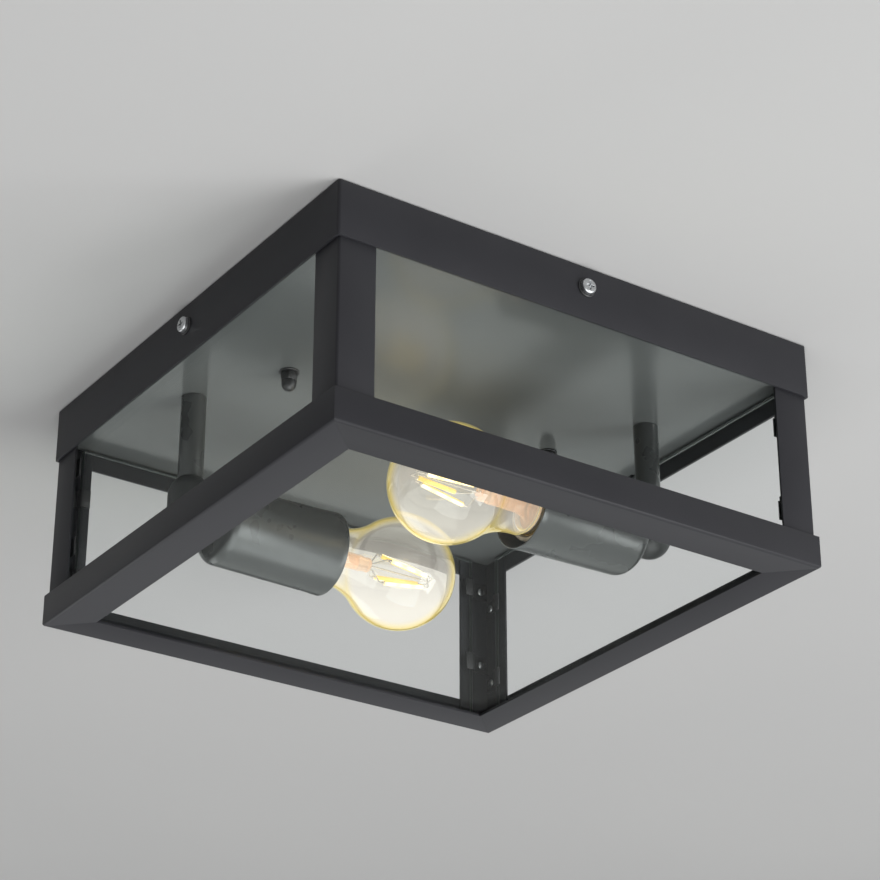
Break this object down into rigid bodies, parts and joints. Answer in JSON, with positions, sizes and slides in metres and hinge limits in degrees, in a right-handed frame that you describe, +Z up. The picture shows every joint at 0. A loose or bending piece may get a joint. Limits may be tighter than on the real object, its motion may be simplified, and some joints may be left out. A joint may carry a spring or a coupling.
{
  "type": "porch ceiling lantern",
  "caption": "Square flush ceiling lantern: steel band, corner posts and mitred rails around clear panes, with lamps lying flat in cupped holders below a grey pan.",
  "frame": {"origin": "centre of the ceiling plane, on the upper face of the bracket and the gasket", "axes": "+Z up into the ceiling, the lantern hangs towards -Z; X runs along the bracket and along both lamps, Y across them"},
  "size_m": [0.2868, 0.2868, 0.123],
  "materials": {
    "frame_black": "satin anthracite powder coat",
    "pan_grey": "semi-gloss grey enamel",
    "holder_grey": "satin dark grey lacquer on drawn steel",
    "knuckle_grey": "satin dark lacquer on a casting",
    "zinc_steel": "bright zinc plated",
    "black_steel": "blackened steel",
    "brass": "bare",
    "cap_nickel": "bright rolled cap",
    "cap_insulator": "black vitrite with a soldered contact",
    "ceramic_white": "glazed off-white",
    "pane_glass": "clear float glass",
    "bulb_glass": "clear blown glass",
    "stem_glass": "pressed glass",
    "filament": "yellow phosphor coat, lit",
    "support_wire": "bright drawn wire",
    "lead_brown": "heat-proof sleeve",
    "lead_earth": "green and yellow sleeve",
    "gasket_black": "closed-cell foam",
    "terminal_white": "moulded"
  },
  "bodies": {
    "root": {"ceiling_bracket": "zinc_steel", "bracket_studs": "zinc_steel", "base_pan": "pan_grey", "pan_frame": "pan_grey", "pan_gasket": "gasket_black", "cap_nuts": "black_steel", "nut_washers": "black_steel", "terminal_block": "terminal_white", "terminal_screws": "brass", "earth_stud": "brass", "earth_lead": "lead_earth", "tube_left": "holder_grey", "tube_right": "holder_grey", "drop_nipples": "zinc_steel", "nipple_nuts": "zinc_steel", "knuckle_left": "knuckle_grey", "knuckle_right": "knuckle_grey", "holder_nipples": "zinc_steel", "holder_nuts": "zinc_steel", "holder_saddles": "zinc_steel", "holder_cup_left": "holder_grey", "holder_cup_right": "holder_grey", "socket_core_left": "ceramic_white", "socket_core_right": "ceramic_white", "socket_shells": "brass", "centre_contacts": "brass", "lamp_leads": "lead_brown"},
    "bulb_left": {"bulb_glass_left": "bulb_glass", "bulb_cap_left": "cap_nickel", "bulb_contact_left": "cap_insulator", "bulb_stem_left": "stem_glass", "bulb_wires_left": "support_wire", "bulb_filaments_left": "filament"},
    "bulb_right": {"bulb_glass_right": "bulb_glass", "bulb_cap_right": "cap_nickel", "bulb_contact_right": "cap_insulator", "bulb_stem_right": "stem_glass", "bulb_wires_right": "support_wire", "bulb_filaments_right": "filament"},
    "lantern": {"top_band": "frame_black", "corner_post_1": "frame_black", "corner_post_2": "frame_black", "corner_post_3": "frame_black", "corner_post_4": "frame_black", "lower_rail_1": "frame_black", "lower_rail_2": "frame_black", "lower_rail_3": "frame_black", "lower_rail_4": "frame_black", "side_pane_1": "pane_glass", "side_pane_2": "pane_glass", "side_pane_3": "pane_glass", "side_pane_4": "pane_glass", "bottom_pane": "pane_glass", "glass_clips": "black_steel", "clip_studs": "zinc_steel", "side_screws": "zinc_steel", "side_washers": "black_steel", "screw_nuts": "zinc_steel"}
  },
  "joints": [
    {"name": "lantern_lower", "type": "slide", "parent": "root", "child": "lantern", "axis": [0, 0, -1], "range_m": [0, 0.13]},
    {"name": "bulb_left_out", "type": "slide", "parent": "root", "child": "bulb_left", "axis": [1, 0, 0], "range_m": [0, 0.04]},
    {"name": "bulb_right_out", "type": "slide", "parent": "root", "child": "bulb_right", "axis": [-1, 0, 0], "range_m": [0, 0.04]}
  ]
}
